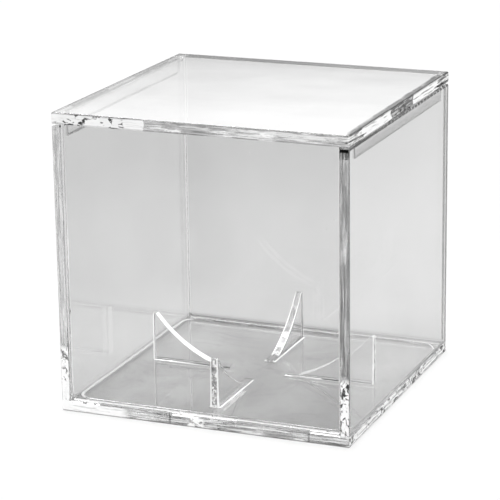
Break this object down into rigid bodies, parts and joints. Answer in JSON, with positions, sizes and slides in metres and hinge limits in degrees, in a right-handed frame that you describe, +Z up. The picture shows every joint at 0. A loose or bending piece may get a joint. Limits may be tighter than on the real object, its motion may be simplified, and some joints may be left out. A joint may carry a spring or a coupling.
{
  "type": "ball display cube",
  "caption": "Clear acrylic display cube for a ball: a base with side walls and a curved-fin cradle, and a lift-off cover made of the lid and the front and back walls.",
  "frame": {"origin": "centre of the underside of the floor panel", "axes": "+Z up; -Y out of the front wall; +X towards the right side wall; the cover lifts off along +Z"},
  "size_m": [0.082, 0.082, 0.082],
  "materials": {
    "clear_panel": "clear polished acrylic sheet with eased edges",
    "clear_fin": "clear polished acrylic, slightly drafted, with bright edges"
  },
  "bodies": {
    "base": {"floor_panel": "clear_panel", "left_side_panel": "clear_panel", "right_side_panel": "clear_panel", "front_cradle_fin": "clear_fin", "back_cradle_fin": "clear_fin", "left_cradle_fin": "clear_fin", "right_cradle_fin": "clear_fin"},
    "cover": {"lid_panel": "clear_panel", "front_panel": "clear_panel", "back_panel": "clear_panel", "left_lid_lip": "clear_panel", "right_lid_lip": "clear_panel"}
  },
  "joints": [
    {"name": "cover_lift", "type": "slide", "parent": "base", "child": "cover", "axis": [0, 0, 1], "range_m": [0, 0.085]}
  ]
}
